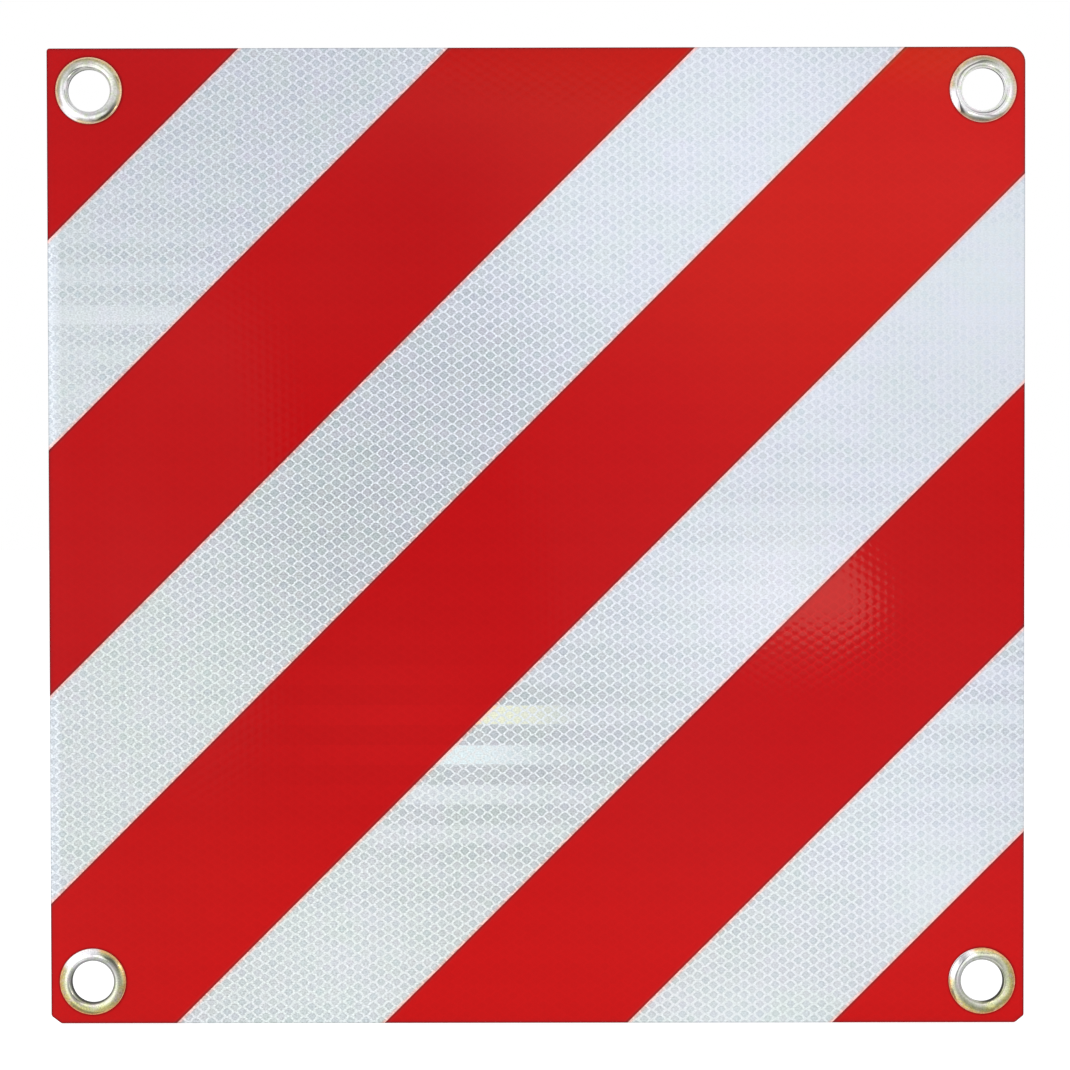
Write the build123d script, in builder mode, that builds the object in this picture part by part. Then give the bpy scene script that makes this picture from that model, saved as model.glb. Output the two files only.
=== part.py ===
"""Overhanging load sign: a striped reflective panel with four eyelets.

Frame: X to the right, Z up, the striped face looks along -Y. The origin is the
centre of the eyelet pattern, in the middle of the plate's thickness.
Millimetres.
"""
import os
from math import cos, radians, sin

from build123d import *

# ---------------------------------------------------------------- dimensions
# panel
width = 500.0                # side to side
height = 500.0               # top to bottom
plate_t = 1.0                # aluminium plate
corner_r_tl = 1.5            # corner rounding, as seen from the front
corner_r_tr = 8.0
cut_bl = (5.2, 3.9)          # lower corners cut off straight: along the
cut_br = (4.6, 3.7)          # bottom edge, and up the side
cut_r = 2.0                  # rounding of both ends of a cut

# layers of the sheeting, from the plate outwards
adhesive_t = 0.05
backing_film_t = 0.10
prism_film_t = 0.25
stripe_t = 0.08

# diagonal stripes: their edges are the lines z - x = c
c_edges = (401.9, 294.7, 168.6, 61.5, -64.5, -171.4, -296.3, -401.5)

# eyelets
eyelet_pitch_x = 457.0
eyelet_pitch_z = 457.0
panel_hole_r = 11.4          # hole through plate and sheeting
eyelet_wall = 0.5            # sheet the eyelet is drawn from
bore_r = 10.75               # clear hole
flange_r = 17.1              # rim that lands on the sheeting
flange_h = 1.45              # crest above the sheeting
crest_r_in = 12.3            # where the flat of the crest begins
dome_r = 14.0                # section radius of the flange, crest to rim
dome_turn = 15.0             # slope of the flange where its rim begins, degrees
rim_r = 0.8                  # section radius of the rim
throat_r = crest_r_in - bore_r   # section radius, crest to bore
curl_mid_r = 1.2             # section radius of the curled end, mid wall

# washers behind the plate
washer_t = 0.5
washer_r_in = 11.4
washer_r_out = 16.5

# ------------------------------------------------------------- derived places
# depth h is counted towards the viewer from the middle of the plate
h_plate_rear = -plate_t / 2
h_plate_front = plate_t / 2
h_adhesive = h_plate_front + adhesive_t
h_backing = h_adhesive + backing_film_t
h_prism = h_backing + prism_film_t
h_face = h_prism + stripe_t              # front of the red stripes
h_washer_rear = h_plate_rear - washer_t

corners = {
    "top_left": (-eyelet_pitch_x / 2, eyelet_pitch_z / 2),
    "top_right": (eyelet_pitch_x / 2, eyelet_pitch_z / 2),
    "bottom_left": (-eyelet_pitch_x / 2, -eyelet_pitch_z / 2),
    "bottom_right": (eyelet_pitch_x / 2, -eyelet_pitch_z / 2),
}

os.makedirs("parts", exist_ok=True)


def panel_plane(h):
    """Sketch plane parallel to the face: local x is X, local y is Z, out is -Y."""
    return Plane.XZ.offset(h)


# ------------------------------------------------------------- panel outline
# shared by the plate and every layer of sheeting: four corners, four holes
left, right = -width / 2, width / 2
bottom, top = -height / 2, height / 2
with BuildSketch(Plane.XY) as panel_outline:
    with BuildLine():
        Polyline(
            (left, top),
            (right, top),
            (right, bottom + cut_br[1]),
            (right - cut_br[0], bottom),
            (left + cut_bl[0], bottom),
            (left, bottom + cut_bl[1]),
            close=True,
        )
    make_face()
    for corner, count, radius in (
        ((left, top, 0), 1, corner_r_tl),
        ((right, top, 0), 1, corner_r_tr),
        ((left, bottom, 0), 2, cut_r),
        ((right, bottom, 0), 2, cut_r),
    ):
        fillet(panel_outline.vertices().sort_by_distance(corner)[:count], radius)
    with GridLocations(eyelet_pitch_x, eyelet_pitch_z, 2, 2):
        Circle(panel_hole_r, mode=Mode.SUBTRACT)


# --------------------------------------------------------------------- plate
with BuildPart() as backing_plate:
    with BuildSketch(panel_plane(h_plate_rear)):
        add(panel_outline.sketch)
    extrude(amount=plate_t)
backing_plate.part.label = "backing_plate"
export_step(backing_plate.part, "parts/backing_plate.step")

# ------------------------------------------------------------------ sheeting
with BuildPart() as sheeting_adhesive:
    with BuildSketch(panel_plane(h_plate_front)):
        add(panel_outline.sketch)
    extrude(amount=adhesive_t)
sheeting_adhesive.part.label = "sheeting_adhesive"
export_step(sheeting_adhesive.part, "parts/sheeting_adhesive.step")

with BuildPart() as sheeting_backing_film:
    with BuildSketch(panel_plane(h_adhesive)):
        add(panel_outline.sketch)
    extrude(amount=backing_film_t)
sheeting_backing_film.part.label = "sheeting_backing_film"
export_step(sheeting_backing_film.part, "parts/sheeting_backing_film.step")

with BuildPart() as prism_film:
    with BuildSketch(panel_plane(h_backing)):
        add(panel_outline.sketch)
    extrude(amount=prism_film_t)
prism_film.part.label = "prism_film"
export_step(prism_film.part, "parts/prism_film.step")

# --------------------------------------------------------------- red stripes
# from the top left corner to the bottom right one; a stripe lies between two
# of the lines z - x = c, and the first and last run out over the corners
far = width + height
stripe_bands = (
    (c_edges[0], far),
    (c_edges[2], c_edges[1]),
    (c_edges[4], c_edges[3]),
    (c_edges[6], c_edges[5]),
    (-far, c_edges[7]),
)
for number, (c_low, c_high) in enumerate(stripe_bands, start=1):
    name = f"red_stripe_{number}"
    with BuildPart() as red_stripe:
        with BuildSketch(panel_plane(h_prism)):
            add(panel_outline.sketch)
            with BuildLine():
                Polyline(
                    (-far, -far + c_low),
                    (far, far + c_low),
                    (far, far + c_high),
                    (-far, -far + c_high),
                    close=True,
                )
            make_face(mode=Mode.INTERSECT)
        extrude(amount=stripe_t)
    red_stripe.part.label = name
    export_step(red_stripe.part, f"parts/{name}.step")

# ------------------------------------------------------------------- eyelets
# section in (radius, depth): the skin that shows goes from the rim over the
# crest into the bore and round the curl; the other skin is one wall behind it
barrel_r = bore_r + eyelet_wall
h_crest = h_face + flange_h
h_dome_c = h_crest - dome_r                  # centre of the dome's section arc
h_throat_c = h_crest - throat_r              # centre of the throat's section arc
rim_c = flange_r - rim_r                     # centre of the rim's section arc
h_rim_c = h_dome_c + (dome_r - rim_r) * cos(radians(dome_turn))
crest_r_out = rim_c - (dome_r - rim_r) * sin(radians(dome_turn))
curl_out = curl_mid_r + eyelet_wall / 2
curl_in = curl_mid_r - eyelet_wall / 2
curl_c = barrel_r + curl_in                  # radius of the curl's centre

for name, (cx, cz) in corners.items():
    section = Plane(origin=(cx, 0, cz), x_dir=(1, 0, 0), z_dir=(0, 0, -1))
    with BuildPart() as eyelet:
        with BuildSketch(section):
            with BuildLine():
                # outer skin
                Line((flange_r, h_face), (flange_r, h_rim_c))
                CenterArc((rim_c, h_rim_c), rim_r, 0, 90 - dome_turn)
                CenterArc((crest_r_out, h_dome_c), dome_r, 90 - dome_turn, dome_turn)
                Line((crest_r_out, h_crest), (crest_r_in, h_crest))
                CenterArc((crest_r_in, h_throat_c), throat_r, 90, 90)
                Line((bore_r, h_throat_c), (bore_r, h_washer_rear))
                CenterArc((curl_c, h_washer_rear), curl_out, 180, 180)
                # end of the curl, resting on the washer
                Line(
                    (curl_c + curl_out, h_washer_rear),
                    (curl_c + curl_in, h_washer_rear),
                )
                # inner skin, back to the rim
                CenterArc((curl_c, h_washer_rear), curl_in, 0, -180)
                Line((barrel_r, h_washer_rear), (barrel_r, h_throat_c))
                CenterArc(
                    (crest_r_in, h_throat_c), throat_r - eyelet_wall, 180, -90
                )
                Line(
                    (crest_r_in, h_crest - eyelet_wall),
                    (crest_r_out, h_crest - eyelet_wall),
                )
                CenterArc(
                    (crest_r_out, h_dome_c), dome_r - eyelet_wall, 90, -dome_turn
                )
                CenterArc(
                    (rim_c, h_rim_c), rim_r - eyelet_wall, 90 - dome_turn, dome_turn - 90
                )
                Line((flange_r - eyelet_wall, h_rim_c), (flange_r - eyelet_wall, h_face))
                Line((flange_r - eyelet_wall, h_face), (flange_r, h_face))
            make_face()
        revolve(axis=Axis((cx, 0, cz), (0, 1, 0)))
    eyelet.part.label = f"eyelet_{name}"
    export_step(eyelet.part, f"parts/eyelet_{name}.step")

# ------------------------------------------------------------------- washers
for name, (cx, cz) in corners.items():
    with BuildPart() as washer:
        with BuildSketch(panel_plane(h_washer_rear)):
            with Locations((cx, cz)):
                Circle(washer_r_out)
                Circle(washer_r_in, mode=Mode.SUBTRACT)
        extrude(amount=washer_t)
    washer.part.label = f"eyelet_washer_{name}"
    export_step(washer.part, f"parts/eyelet_washer_{name}.step")
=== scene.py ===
"""Looks of the overhanging load sign: embossed reflective sheeting, plated
eyelets and a mill finish plate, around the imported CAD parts. Metres, with the
drawing's own sizes given in millimetres and scaled by MM."""
import math

import bmesh
import bpy
import numpy as np
from mathutils import Matrix, Vector
from mathutils.geometry import delaunay_2d_cdt


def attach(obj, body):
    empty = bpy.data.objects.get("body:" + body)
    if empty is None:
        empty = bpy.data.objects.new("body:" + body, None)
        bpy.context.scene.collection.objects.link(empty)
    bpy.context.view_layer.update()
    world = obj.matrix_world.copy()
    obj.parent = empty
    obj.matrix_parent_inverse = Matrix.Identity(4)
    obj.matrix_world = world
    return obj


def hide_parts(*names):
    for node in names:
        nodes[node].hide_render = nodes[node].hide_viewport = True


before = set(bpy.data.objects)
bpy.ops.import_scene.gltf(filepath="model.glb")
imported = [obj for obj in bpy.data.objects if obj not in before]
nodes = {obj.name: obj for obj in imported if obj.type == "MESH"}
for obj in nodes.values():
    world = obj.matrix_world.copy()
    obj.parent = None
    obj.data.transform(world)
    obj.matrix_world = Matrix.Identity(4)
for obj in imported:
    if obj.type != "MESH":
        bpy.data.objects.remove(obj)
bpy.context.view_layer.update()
scene = bpy.context.scene
MM = 0.001

# ------------------------------------------------------------------ dimensions
HALF = 250.0                                  # half the panel's side
ROUND_TR = 8.0
PANEL = (                                     # the outline's points and their rounding
    ((5.2 - HALF, -HALF), 2.0),
    ((HALF - 4.6, -HALF), 2.0),
    ((HALF, 3.7 - HALF), 2.0),
    ((HALF, HALF), ROUND_TR),
    ((-HALF, HALF), 1.5),
    ((-HALF, 3.9 - HALF), 2.0),
)
C_EDGES = (401.9, 294.7, 168.6, 61.5, -64.5, -171.4, -296.3, -401.5)
FAR = 1000.0
RED_BANDS = (
    (C_EDGES[0], FAR),
    (C_EDGES[2], C_EDGES[1]),
    (C_EDGES[4], C_EDGES[3]),
    (C_EDGES[6], C_EDGES[5]),
    (-FAR, C_EDGES[7]),
)
WHITE_BANDS = (
    (C_EDGES[1], C_EDGES[0]),
    (C_EDGES[3], C_EDGES[2]),
    (C_EDGES[5], C_EDGES[4]),
    (C_EDGES[7], C_EDGES[6]),
)
EYE = 228.5                                   # eyelet centre from the middle
EYELETS = {
    "top_left": (-EYE, EYE),
    "top_right": (EYE, EYE),
    "bottom_left": (-EYE, -EYE),
    "bottom_right": (EYE, -EYE),
}
HOLE_R = 11.4
# depths towards the viewer, from the middle of the plate
H_BACKING, H_PRISM, H_FACE = 0.65, 0.90, 0.98
H_WASHER_REAR = -1.0

# honeycomb of the sheeting: rounded lozenges, 7.95 mm apart in a row and 2.49 mm
# from row to row; the lozenges' middles are where KU.r - PU and KV.r - PV are whole
KU, PU = (0.12500, 0.20166), 0.806
KV, PV = (0.12671, -0.19946), 0.471
CP, CQ = 3.973, 2.493                         # half steps across and up
CPS, CQS = 4.03, 2.37                         # half spans of the lozenge itself
CEX, CEZ = 0.15, 0.88                         # rounding of the lozenge
# its radius by the sine of the angle: a round head, broad shoulders, a pointed foot
FAN = (0.988, 0.0784, -0.3635, -0.0176, 1.1414, -0.0999, -0.7377)
S_EDGE = 0.025                                # level of the lozenge's outline
S_FLAT = 0.26                                 # level where its flat top begins
S_TOP = 1 - CEX / CPS - CEZ / CQS             # level at its middle
BAND_H, BAND_Z0 = 10.27, -86.2                # rows of prisms


# ------------------------------------------------------------- node tree helper
class Val:
    """A socket in a node tree, with arithmetic."""

    def __init__(self, tree, socket):
        self.tree, self.socket = tree, socket

    def __add__(self, o):
        return self.tree.math("ADD", self, o)

    __radd__ = __add__

    def __sub__(self, o):
        return self.tree.math("SUBTRACT", self, o)

    def __rsub__(self, o):
        return self.tree.math("SUBTRACT", o, self)

    def __mul__(self, o):
        return self.tree.math("MULTIPLY", self, o)

    __rmul__ = __mul__

    def __truediv__(self, o):
        return self.tree.math("DIVIDE", self, o)

    def __neg__(self):
        return self.tree.math("MULTIPLY", self, -1.0)


class Tree:
    """A material's (or the world's) node tree, built by calls."""

    def __init__(self, owner):
        owner.use_nodes = True
        self.t = owner.node_tree
        self.t.nodes.clear()

    def new(self, kind, **props):
        n = self.t.nodes.new(kind)
        for k, v in props.items():
            setattr(n, k, v)
        return n

    def put(self, socket, value):
        if isinstance(value, Val):
            self.t.links.new(value.socket, socket)
        else:
            if hasattr(socket.default_value, "__len__") and not hasattr(
                value, "__len__"
            ):
                value = (value,) * len(socket.default_value)
            if (
                hasattr(value, "__len__")
                and hasattr(socket.default_value, "__len__")
                and len(socket.default_value) == 4
                and len(value) == 3
            ):
                value = (*value, 1.0)
            socket.default_value = value

    def math(self, op, a, b=None, c=None, clamp=False):
        n = self.new("ShaderNodeMath", operation=op, use_clamp=clamp)
        for s, v in zip(n.inputs, (a, b, c)):
            if v is not None:
                self.put(s, v)
        return Val(self, n.outputs[0])

    def step(self, v, lo, hi, to_lo=0.0, to_hi=1.0):
        """Smooth step of v from lo to hi."""
        n = self.new("ShaderNodeMapRange", interpolation_type="SMOOTHSTEP")
        for s, x in zip(("Value", "From Min", "From Max", "To Min", "To Max"), (v, lo, hi, to_lo, to_hi)):
            self.put(n.inputs[s], x)
        return Val(self, n.outputs["Result"])

    def ramp(self, v, lo, hi, to_lo, to_hi):
        """Straight ramp of v from lo to hi, level beyond."""
        n = self.new("ShaderNodeMapRange", interpolation_type="LINEAR")
        for s, x in zip(("Value", "From Min", "From Max", "To Min", "To Max"), (v, lo, hi, to_lo, to_hi)):
            self.put(n.inputs[s], x)
        return Val(self, n.outputs["Result"])

    def between(self, v, lo, hi, soft):
        """1 from lo to hi, with soft ends."""
        return self.step(v, lo - soft, lo + soft) * self.step(v, hi + soft, hi - soft)

    def xyz(self, v):
        n = self.new("ShaderNodeSeparateXYZ")
        self.put(n.inputs[0], v)
        return [Val(self, o) for o in n.outputs]

    def vec(self, x, y, z=0.0):
        n = self.new("ShaderNodeCombineXYZ")
        for s, v in zip(n.inputs, (x, y, z)):
            self.put(s, v)
        return Val(self, n.outputs[0])

    def coord(self, which="Object"):
        return Val(self, self.new("ShaderNodeTexCoord").outputs[which])

    def noise(self, vector, scale, detail=2.0, rough=0.5, distort=0.0, color=False):
        n = self.new("ShaderNodeTexNoise", noise_dimensions="3D")
        for k, v in (("Vector", vector), ("Scale", scale), ("Detail", detail), ("Roughness", rough), ("Distortion", distort)):
            self.put(n.inputs[k], v)
        return Val(self, n.outputs["Color" if color else "Fac"])

    def white(self, vector, color=False):
        n = self.new("ShaderNodeTexWhiteNoise", noise_dimensions="3D")
        self.put(n.inputs["Vector"], vector)
        return Val(self, n.outputs["Color" if color else "Value"])

    def voronoi(self, vector, scale, feature="F1", out="Distance"):
        n = self.new("ShaderNodeTexVoronoi", feature=feature)
        self.put(n.inputs["Vector"], vector)
        self.put(n.inputs["Scale"], scale)
        return Val(self, n.outputs[out])

    def mix(self, fac, a, b, blend="MIX"):
        n = self.new("ShaderNodeMix", data_type="RGBA", blend_type=blend)
        n.clamp_factor = True
        self.put(n.inputs[0], fac)
        self.put(n.inputs[6], a)
        self.put(n.inputs[7], b)
        return Val(self, n.outputs[2])

    def rgb(self, r, g, b):
        n = self.new("ShaderNodeCombineColor")
        for s, v in zip(n.inputs, (r, g, b)):
            self.put(s, v)
        return Val(self, n.outputs[0])

    def scale(self, color, k):
        """A colour times a number."""
        n = self.new("ShaderNodeVectorMath", operation="SCALE")
        self.put(n.inputs[0], color)
        self.put(n.inputs["Scale"], k)
        return Val(self, n.outputs[0])

    def bump(self, height, strength, distance, normal=None):
        n = self.new("ShaderNodeBump")
        self.put(n.inputs["Height"], height)
        n.inputs["Strength"].default_value = strength
        n.inputs["Distance"].default_value = distance
        if normal is not None:
            self.put(n.inputs["Normal"], normal)
        return Val(self, n.outputs["Normal"])

    def gauss(self, x, z, x0, z0, sx, sz):
        """Soft round patch of height 1 at (x0, z0)."""
        dx, dz = (x - x0) / sx, (z - z0) / sz
        return self.math("EXPONENT", (dx * dx + dz * dz) * -0.5)

    def surface(self, **inputs):
        """Principled shader with these inputs, to the material's output."""
        p = self.new("ShaderNodeBsdfPrincipled")
        for k, v in inputs.items():
            self.put(p.inputs[k.replace("_", " ")], v)
        out = self.new("ShaderNodeOutputMaterial")
        self.t.links.new(p.outputs[0], out.inputs["Surface"])
        return p


def material(name):
    m = bpy.data.materials.new(name)
    return m, Tree(m)


# ------------------------------------------------------ sheeting: shared pattern
def sheet_pattern(t):
    """x and z in mm, and what the sheeting shows there: the lozenge's level, its
    mask, a number and a colour of its own, and the row of prisms."""
    x, _, z = t.xyz(t.coord())
    x, z = x * 1000.0, z * 1000.0
    u, v = x * KU[0] + z * KU[1] - PU, x * KV[0] + z * KV[1] - PV
    iu, iv = t.math("ROUND", u), t.math("ROUND", v)
    fu, fv = u - iu, v - iv
    lx, lz = (fu + fv) * CP, (fu - fv) * CQ
    q = lz / t.math("SQRT", lx * lx + lz * lz + 0.0004)
    fan = FAN[6]
    for c in FAN[5::-1]:
        fan = t.math("MULTIPLY_ADD", q, fan, c)
    nx, nz = lx / fan, lz / fan
    s = 1.0 - t.math("SQRT", nx * nx + CEX * CEX) / CPS - t.math("SQRT", nz * nz + CEZ * CEZ) / CQS
    cell = t.step(s, S_EDGE - 0.08, S_EDGE + 0.08)
    pillow = t.step(s, S_EDGE, S_TOP)
    # the seal lines are a shade weaker where they cross
    ax, az = t.math("ABSOLUTE", lx) - CP, t.math("ABSOLUTE", lz) - CQ
    cross = t.math("MINIMUM", ax * ax + lz * lz, az * az + lx * lx)
    cross = t.math("EXPONENT", cross * (-0.5 / 0.6**2))
    own = t.vec(iu, iv, 3.7)
    rnd, tint = t.white(own), t.white(own, color=True)
    b = (z - BAND_Z0) / BAND_H
    row = t.math("FLOOR", b)
    odd = t.math("PINGPONG", row, 1.0)
    fb = b - row
    joint = t.math("MINIMUM", fb, 1.0 - fb) * BAND_H
    row_rnd = t.white(t.vec(row, 11.3, 0.0))
    return dict(x=x, z=z, s=s, cell=cell, lx=lx, lz=lz, rnd=rnd, tint=tint, odd=odd, pillow=pillow, cross=cross, joint=joint, row_rnd=row_rnd)


def outline_distance(t, x, z):
    """mm to the panel's cut edge."""
    d = t.math("MINIMUM", HALF - t.math("ABSOLUTE", x), HALF - t.math("ABSOLUTE", z))
    for i in (5, 1):
        (x0, z0), (x1, z1) = PANEL[i][0], PANEL[(i + 1) % len(PANEL)][0]
        n = math.hypot(x1 - x0, z1 - z0)
        d = t.math("MINIMUM", d, (z - z0) * ((x1 - x0) / n) - (x - x0) * ((z1 - z0) / n))
    qx = t.math("MAXIMUM", x - (HALF - ROUND_TR), 0.0)
    qz = t.math("MAXIMUM", z - (HALF - ROUND_TR), 0.0)
    d = t.math("MINIMUM", d, ROUND_TR - t.math("SQRT", qx * qx + qz * qz))
    return t.math("MAXIMUM", d, 0.0)


def stripe_edge_distance(t, x, z):
    """mm to the nearest edge between red and white."""
    c = z - x
    d = None
    for e in C_EDGES:
        k = t.math("ABSOLUTE", c - e) * (1 / math.sqrt(2))
        d = k if d is None else t.math("MINIMUM", d, k)
    return d


# ------------------------------------------------------------ material: white film
def make_white():
    m, t = material("prism_film_white")
    p = sheet_pattern(t)
    x, z = p["x"], p["z"]
    # how bright the prisms look next to the seal lines: it drifts over the sheet at random, and the listed patches are
    # painted reflections that the prisms send back, brighter in some places and darker in others
    drift = t.noise(t.vec(x, z, 0.0), 0.008, 2.0, 0.5) - 0.5
    ratio = 0.736 + 0.03 * drift
    for k, x0, z0, sx, sz in (
        (-0.14, -75, 40, 75, 75),
        (-0.09, 25, -95, 40, 38),
        (0.055, 90, -20, 55, 45),
        (0.20, 200, 110, 80, 80),
        (0.105, 90, 215, 80, 60),
        (0.09, -230, 110, 50, 60),
        (0.03, -215, -110, 60, 60),
        (0.11, 215, -160, 60, 60),
        (-0.04, -20, -150, 45, 40),
        (-0.04, -110, 0, 35, 35),
        (0.05, 32, 148, 30, 30),
        (0.06, -100, -215, 30, 25),
        (0.08, 205, -185, 25, 20),
        (0.08, 100, -245, 30, 15),
        (-0.03, 125, 5, 35, 35),
        (-0.03, -225, 125, 30, 25),
        (-0.03, -25, 90, 30, 30),
        (0.05, 232, 110, 22, 30),
        (-0.035, 225, -120, 30, 30),
        (-0.045, 175, -173, 30, 30),
        (0.012, -75, 40, 40, 40),
        (0.012, 25, -95, 35, 35),
        (-0.03, 190, 60, 30, 30),
        (0.01, -140, 180, 40, 40),
        (0.07, 242, 155, 14, 30),
        (0.05, -243, 92, 12, 50),
    ):
        ratio = ratio + k * t.gauss(x, z, x0, z0, sx, sz)
    # rows of prisms turned to and fro; how much the rows differ in brightness is painted light, strongest in a few
    # patches where they send the light back
    busy = (
        0.02
        + 0.15 * t.gauss(x, z, -35, -112, 42, 30)
        + 0.07 * t.gauss(x, z, -225, 112, 50, 28)
        + 0.07 * t.gauss(x, z, 225, -85, 45, 34)
        + 0.03 * t.gauss(x, z, 110, 10, 60, 40)
    )
    ratio = ratio + busy * (p["odd"] - 0.35) * (0.6 + 0.8 * p["row_rnd"])
    # where they are duller the lozenges look larger and differ more
    rim = S_EDGE + 0.36 * (ratio - 0.65)
    cell = t.step(p["s"], rim - 0.08, rim + 0.08)
    dull = 1.0 - ratio
    ratio = ratio * (1.0 + (0.03 + 0.14 * dull) * (p["rnd"] - 0.5))
    # painted shade: a lozenge is drawn paler in its middle than along its rim, as light falls on its swell, less so
    # where it is dull, and its prisms glitter
    glit = t.noise(t.vec(x, z, 4.0), 1.15, 1.0, 0.5) - 0.5
    ratio = ratio + (1.0 - ratio) * (0.30 * p["pillow"] - 0.02) + 0.13 * glit
    ratio = ratio - 0.045 * t.step(p["s"], 0.42, 0.58) * t.step(dull, 0.24, 0.36)
    seal = t.mix(
        t.step(x * 0.7 + z, -230.0, 110.0), (0.762, 0.811, 0.811), (0.752, 0.793, 0.853)
    )
    # painted light: the sheet is drawn a little brighter along its middle and at its foot, as the light falls on it,
    # and darker and lighter in a few patches
    xn, zn = x / HALF, z / HALF
    seal = t.scale(seal, 1.004 - 0.08 * xn * xn + 0.04 * xn * zn - 0.03 * zn)
    seal = t.scale(
        seal,
        1.0
        - 0.04 * t.gauss(x, z, -105, 235, 60, 30)
        - 0.022 * t.gauss(x, z, -140, 180, 60, 50)
        - 0.01 * t.gauss(x, z, 200, 60, 45, 45)
        - 0.07 * t.gauss(x, z, 122, 5, 32, 32)
        - 0.04 * t.step(x, 120.0, 190.0) * t.step(z, 20.0, 90.0)
        + 0.05 * t.gauss(x, z, 185, -170, 80, 80),
    )
    # faint clouds of lavender and green grey, and a bluish border on the left
    cloud = t.noise(t.vec(x, z, 9.0), 0.055, 2.0, 0.5)
    seal = t.mix(0.6, seal, t.mix(t.step(cloud, 0.3, 0.7), (0.955, 1.0, 0.975), (1.0, 0.985, 1.04)), "MULTIPLY")
    seal = t.mix(t.step(x, -243.0, -247.5) * 0.6, seal, (0.86, 0.92, 1.0))
    face = t.mix(0.03 + 0.22 * dull, seal, p["tint"], "SOFT_LIGHT")
    face = t.mix(1.0, face, (0.97, 0.985, 1.0), "MULTIPLY")
    prism = t.scale(face, ratio)
    # bright rows where the prisms turn the light back
    row = t.step(p["joint"], 0.1, 0.7)
    flash1 = t.step(x, 26.0, -22.0) * t.between(z, -96.6, -86.1, 0.5) * row * t.step(x, -85.0, -72.0)
    flash2 = t.step(x, 13.0, -42.0) * t.between(z, -117.6, -106.8, 0.5) * row * t.step(x, -85.0, -72.0)
    flash3 = t.gauss(x, z, -215, 112, 40, 4.6) * row * 0.4
    flash4 = t.step(x, 15.0, -45.0) * t.between(z, -137.8, -127.2, 0.6) * row * t.step(x, -105.0, -92.0)
    prism = t.mix(flash1 * 0.54, prism, (0.94, 0.95, 0.60))
    prism = t.mix(flash2 * 0.68, prism, (0.79, 0.93, 0.96))
    prism = t.mix(flash3 * 0.7, prism, (0.86, 0.89, 0.90))
    prism = t.mix(flash4 * 0.11, prism, (0.84, 0.86, 0.99))
    line = t.scale(seal, 1.0 - 0.045 * p["cross"])
    line = t.mix(t.math("MAXIMUM", flash1, flash2) * 0.30, line, (0.66, 0.74, 0.72))
    color = t.mix(cell, line, prism)
    color = t.scale(color, t.step(p["joint"], 0.0, 0.22, 0.975, 1.0))
    # painted reflection: a soft pale blue glow of the lamp over the white film
    color = t.mix(0.20 * t.gauss(x, z, 118, -22, 32, 26), color, (0.87, 0.90, 1.00))
    # the prisms and the seal glitter finely, more where they are dull
    speck = t.noise(t.vec(x * 1.05, z * 1.5, 6.0), 1.0, 0.0, 0.5) - 0.5
    color = t.scale(color, 1.0 + 14.0 * (0.010 + 0.10 * dull + 0.015 * t.step(x, 20.0, -140.0)) * speck)
    # the stripe beside it tints its edge
    edge = stripe_edge_distance(t, x, z)
    color = t.mix(t.step(edge, 2.4, 0.5), color, (1.0, 0.80, 0.73), "MULTIPLY")
    color = t.mix(t.step(edge, 1.6, 0.6), color, (1.36, 1.02, 1.0), "MULTIPLY")
    color = t.scale(color, t.step(outline_distance(t, x, z), 0.0, 0.7, 0.65, 1.0))
    fine = t.noise(t.vec(x, z, 0.0), 1.4, 3.0, 0.6)
    rough = 0.12 + 0.06 * (1.0 - cell) + 0.04 * (fine - 0.5)
    peel = t.noise(t.vec(x * 0.35, z * 0.35, 2.0), 1.0, 2.0, 0.5)
    height = peel * 0.006 + t.step(p["joint"], 0.0, 0.3) * 0.004
    t.surface(
        Base_Color=color,
        Roughness=rough,
        Specular_IOR_Level=0.25,
        Normal=t.bump(height, 0.5, 0.001),
    )
    return m


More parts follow.
